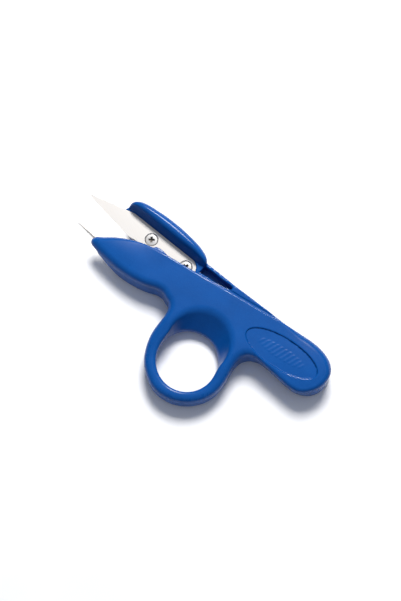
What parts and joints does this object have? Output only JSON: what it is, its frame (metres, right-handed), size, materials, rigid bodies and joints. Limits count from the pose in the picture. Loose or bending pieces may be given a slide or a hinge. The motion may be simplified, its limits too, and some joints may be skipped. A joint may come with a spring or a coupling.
{
  "type": "spring-action thread snips",
  "caption": "Spring-action thread snips: moulded handle with finger ring and palm end, sprung thumb lever, and screwed-on pointed blades.",
  "frame": {"origin": "centre of the footprint of the open tool, on the flat rear face it lies on", "axes": "+X along the handle from the blade tips to the palm end, +Y from the finger ring to the thumb lever, +Z from the rear face to the front face"},
  "size_m": [0.1236, 0.0638, 0.0122],
  "materials": {
    "body_plastic": "semi-gloss blue moulded nylon",
    "blade_steel": "fine ground stainless steel",
    "screw_steel": "bright plated steel"
  },
  "bodies": {
    "handle": {"handle_body": "body_plastic", "spring_arm": "body_plastic", "lower_blade": "blade_steel", "lower_blade_front_screw": "screw_steel", "lower_blade_rear_screw": "screw_steel"},
    "lever": {"thumb_lever": "body_plastic", "upper_blade": "blade_steel", "upper_blade_front_screw": "screw_steel", "upper_blade_rear_screw": "screw_steel"}
  },
  "joints": [
    {"name": "lever_flex", "type": "hinge", "parent": "handle", "child": "lever", "pos_m": [0.02152, 0.01768, 0.004], "axis": [0, 0, 1], "range_deg": [0, 8.8], "stiffness_Nm_per_rad": 2.5, "deforming": ["spring_arm"]}
  ]
}
